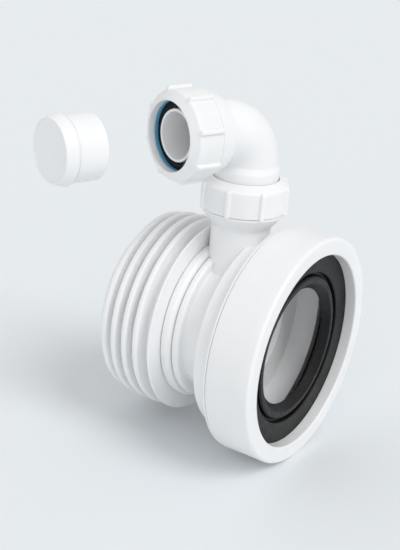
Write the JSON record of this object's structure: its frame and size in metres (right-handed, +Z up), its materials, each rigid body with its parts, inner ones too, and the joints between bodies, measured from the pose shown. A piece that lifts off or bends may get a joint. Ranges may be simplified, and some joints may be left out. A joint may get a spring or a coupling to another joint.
{
  "type": "toilet pan connector",
  "caption": "Straight toilet pan connector with a rubber pan seal, a finned soil outlet and a top boss carrying a swivelling compression waste elbow with its blanking plug taken off.",
  "frame": {"origin": "centre of the pan mouth, in the plane of the cap's front face", "axes": "+X out of the pan mouth along the main axis, +Z up through the boss, +Y to the left seen from the pan"},
  "size_m": [0.11, 0.1891, 0.2096],
  "materials": {
    "white_plastic": "semi-gloss moulded polypropylene",
    "soft_white": "satin soft thermoplastic",
    "black_rubber": "satin moulded rubber",
    "blue_washer": "satin slip washer"
  },
  "bodies": {
    "connector": {"connector_body": "white_plastic", "finned_sleeve": "soft_white", "seal_cap": "white_plastic", "pan_seal": "black_rubber", "boss_seal": "black_rubber"},
    "boss_washer": {"boss_washer": "blue_washer"},
    "boss_nut": {"boss_nut": "white_plastic"},
    "elbow": {"elbow": "white_plastic", "outlet_seal": "black_rubber"},
    "outlet_washer": {"outlet_washer": "blue_washer"},
    "outlet_nut": {"outlet_nut": "white_plastic"},
    "plug": {"blanking_plug": "white_plastic"}
  },
  "joints": [
    {"name": "elbow_swivel", "type": "hinge", "parent": "connector", "child": "elbow", "pos_m": [-0.052, 0, 0.09], "axis": [0, 0, 1], "continuous": true},
    {"name": "boss_washer_slide", "type": "slide", "parent": "connector", "child": "boss_washer", "axis": [0, 0, 1], "range_m": [0, 0.005]},
    {"name": "boss_nut_turn", "type": "hinge", "parent": "boss_washer", "child": "boss_nut", "pos_m": [-0.052, 0, 0.085], "axis": [0, 0, 1], "range_deg": [0, 450]},
    {"name": "outlet_washer_slide", "type": "slide", "parent": "elbow", "child": "outlet_washer", "axis": [-0.3404, -0.9403, 0], "range_m": [0, 0.012]},
    {"name": "outlet_nut_turn", "type": "hinge", "parent": "outlet_washer", "child": "outlet_nut", "pos_m": [-0.07093, -0.05228, 0.1187], "axis": [-0.3404, -0.9403, 0], "range_deg": [0, 1080]},
    {"name": "plug_slide", "type": "slide", "parent": "elbow", "child": "plug", "axis": [-0.3404, -0.9403, 0], "range_m": [-0.0685, 0], "deforming": ["outlet_seal"]}
  ],
  "couplings": [
    {"joint": "boss_washer_slide", "follows": "boss_nut_turn", "m_per_rad": 0.0006366},
    {"joint": "outlet_washer_slide", "follows": "outlet_nut_turn", "m_per_rad": 0.0006366}
  ]
}
